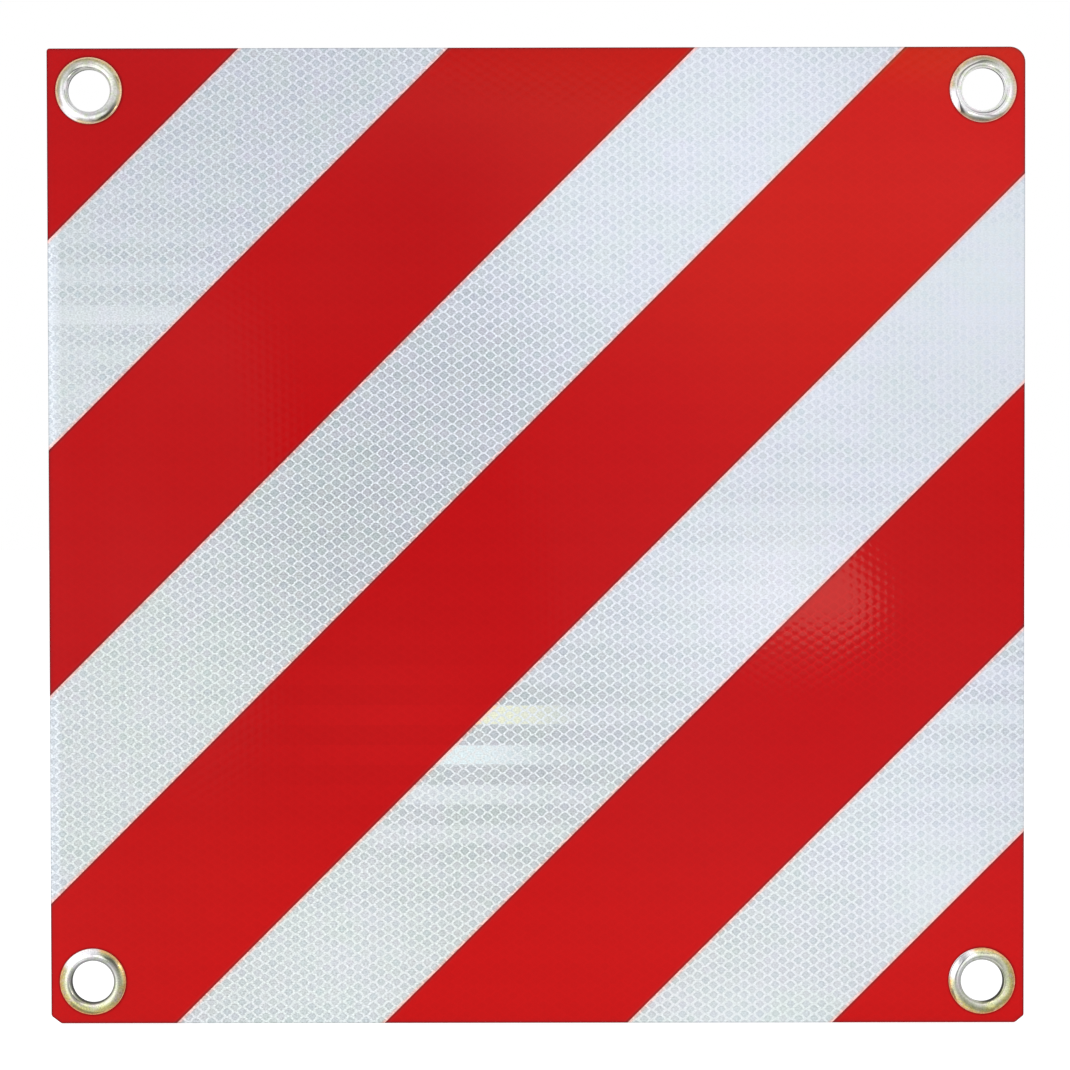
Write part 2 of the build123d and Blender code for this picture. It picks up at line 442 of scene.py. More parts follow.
# -------------------------------------------------------------- material: red film
def make_red():
    m, t = material("red_film")
    p = sheet_pattern(t)
    x, z, cell = p["x"], p["z"], p["cell"]
    drift = t.noise(t.vec(x, z, 5.0), 0.006, 3.0, 0.5)
    k = 1.0 + 0.05 * (drift - 0.5) + 0.012 * (p["odd"] - 0.5) + 0.02 * (p["rnd"] - 0.5)
    k = k * (1.0 + 0.03 * (1.0 - cell))
    # painted light and shade: the red is drawn brighter at the top right, along its foot and round the lamp's
    # reflection, its rows brighter beside the bright rows of the white, and darker in a few patches, three of them by
    # the eyelets
    k = k * (1.0 + 0.16 * t.gauss(x, z, 190, 190, 90, 90) + 0.15 * t.step(z, -90.0, -230.0))
    k = k * (0.975 - 0.005 * t.gauss(x, z, -195, 35, 50, 60) + 0.03 * t.gauss(x, z, 165, -68, 70, 60))
    for amount, x0, z0, sx, sz in (
        (0.05, -50, -94, 40, 25),
        (0.03, 150, -35, 25, 25),
        (-0.045, -216, -216, 40, 40),
        (-0.04, 35, 235, 50, 30),
        (-0.04, -215, 215, 45, 45),
        (-0.02, 215, -215, 45, 45),
    ):
        k = k * (1.0 + amount * t.gauss(x, z, x0, z0, sx, sz))
    for x0, z0 in ((165, 163), (-55, 176), (220, -13)):
        k = k * (1.0 - 0.05 * t.gauss(x, z, x0, z0, 50, 50))
    k = k * (1.0 + 0.05 * p["odd"] * t.gauss(x, z, -85, -97, 35, 22))
    # painted reflection: along the lower and right fringe of the lamp's reflection the lozenges are drawn darker and
    # the seal lines lighter
    k = k * (1.0 + (0.6 - cell) * (0.17 * t.gauss(x, z, 150, -56, 24, 12) + 0.08 * t.gauss(x, z, 172, -38, 9, 16)))
    edge = stripe_edge_distance(t, x, z)
    k = k * t.step(edge, 0.5, 1.75, 0.58, 1.0)
    border = t.math("EXPONENT", outline_distance(t, x, z) * (-1.0 / 0.6))
    k = k * (1.0 - 0.85 * border)
    # painted shade: the sheeting is drawn darker in a narrow ring round each eyelet, where the flange shades it
    ex, ez = t.math("ABSOLUTE", x) - EYE, t.math("ABSOLUTE", z) - EYE
    k = k * t.step(t.math("SQRT", ex * ex + ez * ez), 16.9, 18.4, 0.55, 1.0)
    # the red's tone drifts at random; its soft patches, yellower in some places and deeper red in others, are painted
    # reflections of the room
    tone = t.mix(drift, (0.483, 0.0040, 0.0060), (0.513, 0.0052, 0.0068))
    tone = t.mix(t.gauss(x, z, -10, -20, 80, 80) * 0.8, tone, (0.503, 0.0060, 0.0082))
    tone = t.mix(t.gauss(x, z, 125, 150, 85, 75), tone, (0.528, 0.0100, 0.0068))
    tone = t.mix(t.gauss(x, z, 25, 235, 70, 30) * 0.6, tone, (0.528, 0.0145, 0.0085))
    tone = t.mix(t.step(z, -80.0, -220.0) * 0.8, tone, (0.503, 0.0063, 0.0064))
    tone = t.mix(t.gauss(x, z, 228, 170, 40, 40) * 0.5, tone, (0.528, 0.0165, 0.0140))
    for much, x0, z0, sx, sz, shade in (
        (0.85, -88, -88, 45, 45, (0.499, 0.0086, 0.0099)),
        (0.70, 55, 53, 35, 35, (0.512, 0.0037, 0.0066)),
        (0.80, 145, -90, 50, 45, (0.502, 0.0008, 0.0030)),
        (0.75, -190, 40, 42, 42, (0.488, 0.0010, 0.0022)),
        (0.70, -55, 176, 35, 30, (0.490, 0.0022, 0.0042)),
        (0.70, -110, 121, 30, 30, (0.497, 0.0075, 0.0088)),
        (0.60, -165, -166, 35, 35, (0.510, 0.0085, 0.0085)),
    ):
        tone = t.mix(much * t.gauss(x, z, x0, z0, sx, sz), tone, shade)
    # it is thinner along its edges, where the white shows through
    tone = t.mix(t.step(edge, 2.2, 0.5), tone, (1.0, 3.4, 3.2), "MULTIPLY")
    tone = t.mix(border, tone, (1.0, 3.0, 3.4), "MULTIPLY")
    tone = t.mix(0.9 * t.gauss(x, z, 215, 248, 45, 12), tone, (1.0, 3.0, 1.3), "MULTIPLY")
    color = t.scale(tone, k)
    fine = t.noise(t.vec(x, z, 1.0), 1.2, 3.0, 0.6)
    color = t.scale(color, 1.0 + (0.09 + 0.14 * t.gauss(x, z, 0, 232, 60, 30)) * (fine - 0.5))
    rough = 0.04 + 0.02 * (fine - 0.5)
    peel = t.noise(t.vec(x * 0.3, z * 0.3, 7.0), 1.0, 2.0, 0.5)
    t.surface(
        Base_Color=color,
        Roughness=rough,
        Specular_IOR_Level=0.10,
        Normal=t.bump(peel * 0.004, 0.5, 0.001),
    )
    return m


def make_film_edge(name, color):
    """Cut sides and hidden rear of a film."""
    m, t = material(name)
    x, _, z = t.xyz(t.coord())
    n = t.noise(t.vec(x * 1000.0, z * 1000.0, 0.0), 0.4, 2.0, 0.5)
    t.surface(
        Base_Color=t.mix(n, tuple(0.9 * c for c in color), color),
        Roughness=0.45 + 0.15 * n,
        Specular_IOR_Level=0.3,
    )
    return m


# --------------------------------------------------------------- material: metals
def make_eyelet(name, gold, gold_side, throat_slope_shading, rim_brass_and_reflection, tone, bare_and_glare, lip, seed):
    """Bright zinc on steel; gold is how far its yellow passivation shows at the
    lip, half way down the flange and at the rim, and it is stronger on one side;
    throat_slope_shading is painted shade, how much darker or lighter the throat and
    the outer slope are drawn, rim_brass_and_reflection the rim's colour, its brass
    passivation with a painted reflection of the red sheeting, and tone the whole
    eyelet's brightness. Towards bare_and_glare the flange has lost its yellow and is
    drawn paler, a painted highlight on bare plating, and the bore's lip has a dark
    line of painted shade towards lip."""
    m, t = material(name)
    x, y, z = t.xyz(t.coord())
    x, y, z = x * 1000.0, y * 1000.0, z * 1000.0
    r = t.math("SQRT", x * x + z * z)
    a = t.math("ARCTAN2", z, x)
    blot = t.noise(t.vec(x, y + seed, z), 0.16, 3.0, 0.55)
    hue = t.noise(t.vec(x, y + seed + 50.0, z), 0.32, 2.0, 0.5)
    grain = t.noise(t.vec(x, y + seed, z), 1.4, 3.0, 0.65)
    streak = t.noise(t.vec(t.math("COSINE", a) * 30.0, t.math("SINE", a) * 30.0, r * 0.25 + seed), 1.0, 3.0, 0.6)
    ring = t.noise(t.vec(r * 3.0, seed, blot), 1.0, 2.0, 0.5)
    g = t.ramp(r, 12.5, 14.5, gold[0], gold[1]) + t.ramp(r, 14.5, 16.5, 0.0, gold[2] - gold[1])
    g = g + gold_side[1] * t.math("COSINE", a - math.radians(gold_side[0]))
    g = g * (0.7 + 0.6 * t.step(blot, 0.3, 0.7))
    g = t.math("MINIMUM", t.math("MAXIMUM", g, 0.0), 1.1)
    # painted highlight on bare plating: on one side the flange loses its yellow and is drawn paler, where a bright
    # light glares on it
    clean = t.math("COSINE", a - math.radians(bare_and_glare[0]))
    clean = t.step(clean, math.cos(math.radians(bare_and_glare[1] + 9)), math.cos(math.radians(bare_and_glare[1] - 7))) * t.step(r, 12.8, 14.4)
    g = g * (1.0 - 0.85 * clean)
    straw = t.mix(t.step(r, 13.3, 15.4), (0.82, 0.84, 0.40), (0.86, 0.74, 0.27))
    color = t.mix(g, (0.94, 0.945, 0.95), straw)
    # the thin coat shimmers green and pink
    color = t.mix(t.step(hue, 0.50, 0.66) * 0.45, color, (0.72, 0.82, 0.50))
    color = t.mix(t.step(hue, 0.48, 0.32) * 0.5, color, (0.95, 0.80, 0.86))
    # the rim's colour: its brass passivation with a painted reflection of the red sheeting
    color = t.mix(t.step(r, 15.4, 16.5) * (0.62 + 0.36 * t.step(hue, 0.35, 0.6)), color, rim_brass_and_reflection)
    # painted light and shade: each eyelet's throat and outer slope are drawn darker or lighter by a factor of its own,
    # and the rim is put back to full brightness
    color = t.scale(color, t.step(r, 12.3, 11.5, 1.0, throat_slope_shading[0]) * t.step(r, 13.9, 15.1, 1.0, throat_slope_shading[1]) * t.step(r, 15.7, 16.5, 1.0, 1.0 / throat_slope_shading[1]))
    color = t.mix(clean * 0.8, color, (0.97, 0.95, 1.0))
    # painted shade: a dark line on one side of the bore's lip, where the throat's inner wall is in shade
    dark = t.math("COSINE", a - math.radians(lip[0]))
    dark = t.step(dark, math.cos(math.radians(lip[1] + 25)), math.cos(math.radians(lip[1] - 15)))
    color = t.scale(color, 1.0 - lip[2] * dark * t.step(r, 11.4, 11.1))
    color = t.scale(color, tone * (1.0 + 0.20 * (streak - 0.5) + (0.60 + 0.90 * g) * (grain - 0.5)))
    rough = 0.04 + 0.05 * g + 0.03 * (grain - 0.5) + 0.03 * (blot - 0.4)
    height = streak * 0.006 + ring * 0.004 + blot * 0.02 + grain * 0.004
    t.surface(
        Base_Color=color, Metallic=1.0, Roughness=rough, Normal=t.bump(height, 0.5, 0.001)
    )
    return m


def make_washer():
    m, t = material("washer_zinc")
    x, y, z = t.xyz(t.coord())
    x, y, z = x * 1000.0, y * 1000.0, z * 1000.0
    spangle = t.voronoi(t.vec(x, y, z), 0.55, out="Color")
    grain = t.noise(t.vec(x, y, z), 1.6, 4.0, 0.6)
    stain = t.noise(t.vec(x, y, z), 0.09, 3.0, 0.6)
    tone = t.xyz(spangle)[0]
    color = t.mix(tone, (0.58, 0.585, 0.575), (0.70, 0.70, 0.68))
    color = t.mix(t.step(stain, 0.5, 0.72) * 0.5, color, (0.66, 0.63, 0.48))
    t.surface(
        Base_Color=color,
        Metallic=1.0,
        Roughness=0.26 + 0.14 * tone + 0.12 * (grain - 0.5),
        Normal=t.bump(grain * 0.02 + tone * 0.01, 0.35, 0.001),
    )
    return m


def make_plate():
    m, t = material("aluminium_mill_finish")
    x, y, z = t.xyz(t.coord())
    x, y, z = x * 1000.0, y * 1000.0, z * 1000.0
    # rolling lines run up the sheet
    line1 = t.noise(t.vec(x * 3.2, y, z * 0.012), 1.0, 4.0, 0.65)
    line2 = t.noise(t.vec(x * 0.55, y, z * 0.006 + 40.0), 1.0, 3.0, 0.6)
    cloud = t.noise(t.vec(x, y, z), 0.007, 4.0, 0.6)
    # light scratches from stacking
    turn = t.vec(x * 0.83 + z * 0.56, y, (z * 0.83 - x * 0.56) * 0.02)
    scratch = t.math("POWER", t.noise(turn, 0.8, 2.0, 0.5), 9.0)
    tone = 0.55 * line1 + 0.45 * line2
    color = t.mix(tone, (0.70, 0.705, 0.715), (0.83, 0.835, 0.84))
    color = t.mix(t.step(cloud, 0.45, 0.75) * 0.35, color, (0.66, 0.67, 0.685))
    rough = 0.30 + 0.16 * (line1 - 0.5) + 0.10 * (cloud - 0.5)
    # the sheared edge is darker and rougher
    shear = t.step(t.math("MAXIMUM", t.math("ABSOLUTE", x), t.math("ABSOLUTE", z)), 249.7, 249.98)
    color = t.mix(shear, color, (0.34, 0.34, 0.35))
    rough = rough + 0.15 * shear
    height = line1 * 0.015 + line2 * 0.02 - scratch * 0.3
    t.surface(
        Base_Color=color,
        Metallic=1.0,
        Roughness=rough,
        Normal=t.bump(height, 0.4, 0.001),
    )
    return m


# ------------------------------------------------------------------ sheeting mesh
def level(x, z):
    """The lozenge level of points in mm, as the pattern has it."""
    u, v = x * KU[0] + z * KU[1] - PU, x * KV[0] + z * KV[1] - PV
    fu, fv = u - np.round(u), v - np.round(v)
    lx, lz = (fu + fv) * CP, (fu - fv) * CQ
    fan = np.polyval(FAN[::-1], lz / np.sqrt(lx * lx + lz * lz + 0.0004))
    return 1 - np.hypot(lx / fan, CEX) / CPS - np.hypot(lz / fan, CEZ) / CQS


def swell(x, z, domed):
    """0 on the seal lines, 1 on top of a lozenge, flat or domed, and level around
    the eyelets."""
    if domed:
        k = np.clip((level(x, z) - S_EDGE) / (S_TOP - S_EDGE), 0, 1)
        k = k * (2 - k)
    else:
        k = np.clip((level(x, z) - S_EDGE) / (S_FLAT - S_EDGE), 0, 1)
    for cx, cz in EYELETS.values():
        e = np.clip((np.hypot(x - cx, z - cz) - 17.4) / 2.2, 0, 1)
        k = k * e * e * (3 - 2 * e)
    return k


def lozenge(at, angles):
    """Points of a lozenge's contour at a level, around its middle."""
    pts = []
    for a in np.radians(angles):
        c, s = math.cos(a), math.sin(a)
        lo, hi = 0.0, 5.0
        for _ in range(40):
            m = (lo + hi) / 2
            if 1 - math.hypot(m * c, CEX) / CPS - math.hypot(m * s, CEZ) / CQS > at:
                lo = m
            else:
                hi = m
        lo *= np.polyval(FAN[::-1], s)
        pts.append((lo * c, lo * s))
    return [tuple(TO_PLACE @ ((x / CP + z / CQ) / 2, (x / CP - z / CQ) / 2)) for x, z in pts]


TO_PLACE = np.linalg.inv(np.array((KU, KV)))    # lattice numbers to mm
LOZENGE_RIM = lozenge(S_EDGE, (0, 50, 90, 130, 180, 230, 270, 310))
LOZENGE_TOP = lozenge(S_FLAT, (0, 58, 122, 180, 238, 302))


def panel_polygon(n=10):
    """The panel's outline, counter-clockwise as seen from the front."""
    pts = []
    for i, (p, r) in enumerate(PANEL):
        p, a, b = Vector(p), Vector(PANEL[i - 1][0]), Vector(PANEL[(i + 1) % len(PANEL)][0])
        u, v = (a - p).normalized(), (b - p).normalized()
        half = math.acos(max(-1.0, min(1.0, u.dot(v)))) / 2
        centre = p + (u + v).normalized() * (r / math.sin(half))
        first, last = p + u * (r / math.tan(half)) - centre, p + v * (r / math.tan(half)) - centre
        a0, a1 = math.atan2(first.y, first.x), math.atan2(last.y, last.x)
        a1 += 2 * math.pi if a1 < a0 else 0.0
        for k in range(n + 1):
            w = a0 + (a1 - a0) * k / n
            pts.append((centre.x + r * math.cos(w), centre.y + r * math.sin(w)))
    return pts


def cut(poly, c, keep_above):
    """Part of a convex outline on one side of the line z - x = c."""
    f = lambda p: (p[1] - p[0] - c) * (1 if keep_above else -1)
    out = []
    for a, b in zip(poly, poly[1:] + poly[:1]):
        fa, fb = f(a), f(b)
        if fa >= 0:
            out.append(a)
        if (fa > 0) != (fb > 0) and fa != fb:
            k = fa / (fa - fb)
            out.append((a[0] + k * (b[0] - a[0]), a[1] + k * (b[1] - a[1])))
    clean = []
    for p in out:
        if not clean or math.dist(p, clean[-1]) > 1e-6:
            clean.append(p)
    if math.dist(clean[0], clean[-1]) < 1e-6:
        clean.pop()
    return clean


def inside(poly, pts):
    """Which points lie inside a convex outline given counter-clockwise."""
    ok = np.ones(len(pts), bool)
    for a, b in zip(poly, poly[1:] + poly[:1]):
        ok &= (b[0] - a[0]) * (pts[:, 1] - a[1]) - (b[1] - a[1]) * (pts[:, 0] - a[0]) > 0
    return ok


def triangulate(points, edges):
    """Delaunay triangles, counter-clockwise, that hold these edges."""
    r = delaunay_2d_cdt([Vector(p) for p in points], edges, [], 0, 1e-7)
    co = np.array([(v.x, v.y) for v in r[0]], float)
    tri = np.array([f for f in r[2] if len(f) == 3], int)
    a, b, c = co[tri[:, 0]], co[tri[:, 1]], co[tri[:, 2]]
    area = (b[:, 0] - a[:, 0]) * (c[:, 1] - a[:, 1]) - (b[:, 1] - a[:, 1]) * (c[:, 0] - a[:, 0])
    tri = tri[np.abs(area) > 1e-9]
    area = area[np.abs(area) > 1e-9]
    tri[area < 0] = tri[area < 0][:, ::-1]
    return co, tri, r[3]


def film(name, outline, bands, front, rear, rise, domed, face_mat, side_mat, lines=()):
    """A film as a closed mesh: its front carries the lozenges inside bands."""
    holes = []
    for cx, cz in EYELETS.values():
        ring = [(cx + HOLE_R * math.cos(a), cz + HOLE_R * math.sin(a)) for a in np.linspace(0, 2 * math.pi, 72, endpoint=False)]
        if inside(outline, np.array([(cx, cz)]))[0]:
            holes.append(ring)
    points, edges = [], []

    def loop(pts):
        b = len(points)
        points.extend(pts)
        edges.extend((b + i, b + (i + 1) % len(pts)) for i in range(len(pts)))

    loop(outline)
    for h in holes:
        loop(h)
    for c in lines:
        b = len(points)
        lo, hi = (-HALF, -HALF + c) if c >= 0 else (-HALF - c, -HALF), (HALF - c, HALF) if c >= 0 else (HALF, HALF + c)
        points.extend((lo, hi))
        edges.append((b, b + 1))
    n = 130
    i, j = np.meshgrid(np.arange(-n, n + 1), np.arange(-n, n + 1))
    xs, zs = TO_PLACE @ np.stack([i.ravel() + PU, j.ravel() + PV])
    keep = np.zeros(len(xs), bool)
    for lo, hi in bands:
        keep |= (zs - xs > lo - 5.5) & (zs - xs < hi + 5.5)
    keep &= (np.abs(xs) < HALF + 4) & (np.abs(zs) < HALF + 4)
    for cx, cz in EYELETS.values():
        keep &= np.hypot(xs - cx, zs - cz) > 16.5
    for cx, cz in zip(xs[keep], zs[keep]):
        loop([(cx + a, cz + b) for a, b in LOZENGE_RIM])
        loop([(cx + a, cz + b) for a, b in LOZENGE_TOP])
        points.append((cx, cz))
    co, tri, _ = triangulate(points, edges)
    mid = co[tri].mean(axis=1)
    ok = inside(outline, mid)
    for h in holes:
        ok &= ~inside(h, mid)
    tri = tri[ok]
    used = np.unique(tri)
    remap = np.full(len(co), -1)
    remap[used] = np.arange(len(used))
    co, tri = co[used], remap[tri]
    # boundary edges, in the order of their front faces
    directed = np.concatenate([tri[:, [0, 1]], tri[:, [1, 2]], tri[:, [2, 0]]])
    have = set(map(tuple, directed.tolist()))
    rim = [(a, b) for a, b in have if (b, a) not in have]
    rim.sort()
    rim_verts = sorted({v for e in rim for v in e})
    under = {v: len(co) + k for k, v in enumerate(rim_verts)}
    h = front + rise * (swell(co[:, 0], co[:, 1], domed) - 0.35)
    verts = [(x * MM, -d * MM, z * MM) for (x, z), d in zip(co.tolist(), h.tolist())]
    verts += [(co[v][0] * MM, -rear * MM, co[v][1] * MM) for v in rim_verts]
    faces = tri.tolist()
    n_front = len(faces)
    faces += [(b, a, under[a], under[b]) for a, b in rim]
    local = {v: k for k, v in enumerate(rim_verts)}
    co2, tri2, origin = triangulate([tuple(co[v]) for v in rim_verts], [(local[a], local[b]) for a, b in rim])
    mid = co2[tri2].mean(axis=1)
    ok = inside(outline, mid)
    for hole in holes:
        ok &= ~inside(hole, mid)
    back = [len(co) + origin[k][0] for k in range(len(co2))]
    faces += [tuple(back[v] for v in reversed(f)) for f in tri2[ok].tolist()]
    me = bpy.data.meshes.new(name)
    me.from_pydata(verts, [], faces)
    me.materials.append(face_mat)
    me.materials.append(side_mat)
    index = np.ones(len(faces), np.int32)
    index[:n_front] = 0
    me.polygons.foreach_set("material_index", index)
    me.polygons.foreach_set("use_smooth", index == 0)
    sharp = me.attributes.new("sharp_edge", "BOOLEAN", "EDGE")
    ends = np.zeros(len(me.edges) * 2, np.int32)
    me.edges.foreach_get("vertices", ends)
    rim_set = {(min(e), max(e)) for e in rim}
    sharp.data.foreach_set("value", [(min(a, b), max(a, b)) in rim_set for a, b in ends.reshape(-1, 2).tolist()])
    # the front's map is the drawing itself, and the rest goes in a corner
    xs0, zs0 = co.min(axis=0)
    side = max(co.max(axis=0) - co.min(axis=0))
    vi = np.zeros(len(me.loops), np.int32)
    me.loops.foreach_get("vertex_index", vi)
    vxz = np.array(verts)[:, [0, 2]] / MM
    uv = (vxz[vi] - (xs0, zs0)) / side
    loop_front = np.repeat(index == 0, [len(f) for f in faces])
    uv = np.where(loop_front[:, None], 0.004 + uv * 0.972, 0.984 + uv * 0.012)
    layer = me.uv_layers.new(name="OFBake")
    layer.data.foreach_set("uv", uv.astype(np.float32).ravel())
    me.validate()
    me.update()
    ob = bpy.data.objects.new(name, me)
    scene.collection.objects.link(ob)
    return ob


# ------------------------------------------------------------------- eyelet mesh
def eyelet_section():
    """The eyelet's section round its closed outline: radius, depth, and how the
    point follows when the flange leans: 0 not, 1 on the skin that shows, 2 on the
    rim below it, 3 and 4 the same behind."""
    wall, bore, flange = 0.5, 10.75, 17.1
    top, crest_in = 1.45, 12.3
    dome, turn, rim = 14.0, math.radians(15.0), 0.8
    throat = crest_in - bore
    hc = H_FACE + top
    hd, ht = hc - dome, hc - throat
    rc, hr = flange - rim, hd + (dome - rim) * math.cos(turn)
    crest_out = rc - (dome - rim) * math.sin(turn)
    pts = []

    def arc(cr, ch, radius, a0, a1, count, kind):
        for a in np.linspace(a0, a1, count):
            pts.append((cr + radius * math.cos(a), ch + radius * math.sin(a), kind))

    quarter = math.pi / 2
    pts.append((flange, H_FACE, 2))
    arc(rc, hr, rim, 0.0, quarter - turn, 8, 2)
    arc(crest_out, hd, dome, quarter - turn + turn / 10, quarter, 10, 1)
    arc(crest_in, ht, throat, quarter, math.pi, 14, 1)
    for k in (0.33, 0.66):
        pts.append((bore, ht + k * (H_WASHER_REAR - ht), 0))
    # the curled end, a hair inside the drawn one
    mid = 1.2
    out_, in_ = mid + wall / 2 - 0.005, mid - wall / 2
    cc = bore + wall + in_
    arc(cc, H_WASHER_REAR, out_, math.pi, 2 * math.pi, 17, 0)
    arc(cc, H_WASHER_REAR, in_, 0.0, -math.pi, 13, 0)
    arc(crest_in, ht, throat - wall, math.pi, quarter, 10, 3)
    arc(crest_out, hd, dome - wall, quarter, quarter - turn + turn / 8, 8, 3)
    arc(rc, hr, rim - wall, quarter - turn, 0.0, 5, 4)
    pts.append((flange - wall, H_FACE, 4))
    return np.array(pts)


def eyelet(name, where, lean, dents, throat, seed, mat):
    """One plated eyelet, turned from its section. Its flange leans in and out a
    little round the ring, with the dents that crimping leaves on it; lean is a
    mean and four waves (cosine, sine) in degrees, dents are places and widths, and
    throat is the side on which the throat is wider, and by how many mm."""
    rng = np.random.default_rng(seed)
    sec = eyelet_section()
    r, h, kind = sec.T
    n = 192
    th = np.linspace(0, 2 * math.pi, n, endpoint=False)
    w = np.full(n, float(lean[0]))
    for k in range(1, 5):
        w += lean[2 * k - 1] * np.cos(k * th) + lean[2 * k] * np.sin(k * th)
        if k == 1:
            tilt = np.tan(np.radians(w))
    for a, width, deg in dents:
        off = (th - math.radians(a) + math.pi) % (2 * math.pi) - math.pi
        w += deg * np.exp(-0.5 * (off / math.radians(width)) ** 2)
    for k in (6, 8, 11):
        w += rng.normal(0, 0.5) * np.sin(k * th + rng.uniform(0, 6.28))
    slope = np.tan(np.radians(np.clip(w, -7.5, 11.0)))
    pivot, crest, bore, lip = 12.9, h.max(), r.min(), 12.3
    wide = np.where(r < lip, (r - bore) / (lip - bore), np.clip(1 - (r - lip) / 3.0, 0, 1)) * ((kind == 1) | (kind == 3))
    verts = []
    rows = []


    def bend(radius, i):
        """Change of depth at a radius: the crest's tilt turns softly into the lean."""
        d = np.maximum(radius - pivot, 0.0)
        eased = np.where(d < 1.2, d * d / 2.4, d - 0.6)
        return -tilt[i] * (radius - pivot) * np.clip((radius - bore) / 1.5, 0, 1) - (slope[i] - tilt[i]) * eased

    for i in range(n):
        drop = bend(r, i)
        hh = h.copy()
        for skin, edge in ((1, 2), (3, 4)):
            on, low = kind == skin, kind == edge
            hh[on] = np.maximum(h[on] + drop[on], H_FACE + 0.02)
            foot = np.max(h[low])
            to = max(foot + float(bend(r[low][np.argmax(h[low])], i)), H_FACE + 0.02)
            hh[low] = H_FACE + (h[low] - H_FACE) * (to - H_FACE) / (foot - H_FACE)
        rows.append(hh)
    rows = np.array(rows)
    # nothing stands higher than the drawn crest
    over = max(0.0, float(rows.max()) - crest)
    rows -= over * np.clip((rows - H_FACE - 0.3) / 0.8, 0, 1) * (kind > 0)
    for i in range(n):
        c, s = math.cos(th[i]), math.sin(th[i])
        rr = r + wide * throat[1] * math.cos(th[i] - math.radians(throat[0]))
        verts += [(a * c * MM, -b * MM, a * s * MM) for a, b in zip(rr, rows[i])]
    faces = []
    m = len(sec)
    for i in range(n):
        k = (i + 1) % n
        for j in range(m):
            q = (j + 1) % m
            faces.append((i * m + j, k * m + j, k * m + q, i * m + q))
    me = bpy.data.meshes.new(name)
    me.from_pydata(verts, [], faces)
    me.materials.append(mat)
    me.polygons.foreach_set("use_smooth", np.ones(len(faces), bool))
    run = np.concatenate([[0], np.cumsum(np.hypot(np.diff(np.append(r, r[0])), np.diff(np.append(h, h[0]))))])
    run /= run[-1]
    layer = me.uv_layers.new(name="OFBake")
    uv = []
    for i in range(n):
        for j in range(m):
            uv += [i / n, run[j], (i + 1) / n, run[j], (i + 1) / n, run[j + 1], i / n, run[j + 1]]
    layer.data.foreach_set("uv", np.array(uv, np.float32))
    me.validate()
    me.update()
    me.shade_smooth()
    me.set_sharp_from_angle(angle=math.radians(50))
    ob = bpy.data.objects.new(name, me)
    ob.location = (where[0] * MM, 0.0, where[1] * MM)
    scene.collection.objects.link(ob)
    return ob


# -------------------------------------------------------------------- the pieces
white, red = make_white(), make_red()
white_side = make_film_edge("film_cut_white", (0.70, 0.73, 0.75))
red_side = make_film_edge("film_cut_red", (0.40, 0.006, 0.008))
panel = panel_polygon()

sheet = film("prism_film_embossed", panel, WHITE_BANDS, H_PRISM, H_BACKING, 0.009, False, white, white_side, lines=C_EDGES)
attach(sheet, "root")
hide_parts("prism_film")

for k, (lo, hi) in enumerate(RED_BANDS, start=1):
    area = panel
    if lo > -FAR:
        area = cut(area, lo, True)
    if hi < FAR:
        area = cut(area, hi, False)
    piece = film(f"red_stripe_{k}_embossed", area, [(lo, hi)], H_FACE, H_PRISM, 0.0125, True, red, red_side)
    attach(piece, "root")
    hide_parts(f"red_stripe_{k}")

# how the four eyelets differ: gold, lean of the flange, dents (degrees), throat
GOLD = {
    "top_left": (0.06, 0.16, 0.99),
    "top_right": (-0.05, 0.12, 0.75),
    "bottom_left": (0.24, 0.71, 1.35),
    "bottom_right": (0.33, 0.68, 1.26),
}
GOLD_SIDE = {
    "top_left": (51.24, 0.15),
    "top_right": (103.20, 0.22),
    "bottom_left": (-83.00, 0.36),
    "bottom_right": (-42.10, 0.34),
}
LEAN = {
    "top_left": (-1.2, -1.9, -3.7, -0.4, 1.4, 0.6, -1.8, 0.8, -1.1),
    "top_right": (-0.8, 0.5, 1.1, -0.6, -1.2, 1.4, -0.1, -0.0, -1.0),
    "bottom_left": (-1.5, -0.4, 5.2, 0.5, 0.7, 0.8, -1.2, 0.8, -0.1),
    "bottom_right": (-0.7, -3.7, 0.6, 1.7, -0.6, 1.6, 0.5, -0.8, 1.4),
}
DENTS = {
    "top_left": ((285.7, 12.1, 0.4), (335.4, 9.6, -3.8), (51.5, 9.7, 5.8), (88.6, 13.9, -4.3), (289.1, 13.3, 2.4)),
    "top_right": ((190.4, 23.1, 13.6), (88.2, 14.1, -2.3), (265.6, 16.0, 10.0), (194.3, 11.7, 5.5), (67.4, 13.6, -3.7)),
    "bottom_left": ((287.5, 10.8, 1.3), (137.0, 14.6, -2.7), (149.9, 33.9, 8.3), (97.0, 14.2, -0.1), (205.3, 13.2, 1.3)),
    "bottom_right": ((82.8, 12.0, 6.6), (331.6, 22.0, -3.3), (290.0, 6.0, -4.1), (173.3, 16.5, 8.0), (149.1, 17.5, 4.4)),
}
THROAT_SLOPE_SHADING = {
    "top_left": (0.78, 0.55),
    "top_right": (1.06, 0.72),
    "bottom_left": (0.46, 0.80),
    "bottom_right": (0.58, 1.04),
}
BARE_AND_GLARE = {
    "top_left": (228, 16),
    "top_right": (198, 16),
    "bottom_left": (115, 34),
    "bottom_right": (140, 32),
}
LIP_SHADE = {
    "top_left": (140, 60, 0.0),
    "top_right": (300, 60, 0.0),
    "bottom_left": (240, 90, 0.75),
    "bottom_right": (-25, 60, 0.85),
}
RIM_BRASS_AND_REFLECTION = {
    "top_left": (0.98, 0.68, 0.44),
    "top_right": (1.0, 0.62, 0.46),
    "bottom_left": (0.79, 0.43, 0.20),
    "bottom_right": (0.82, 0.40, 0.20),
}
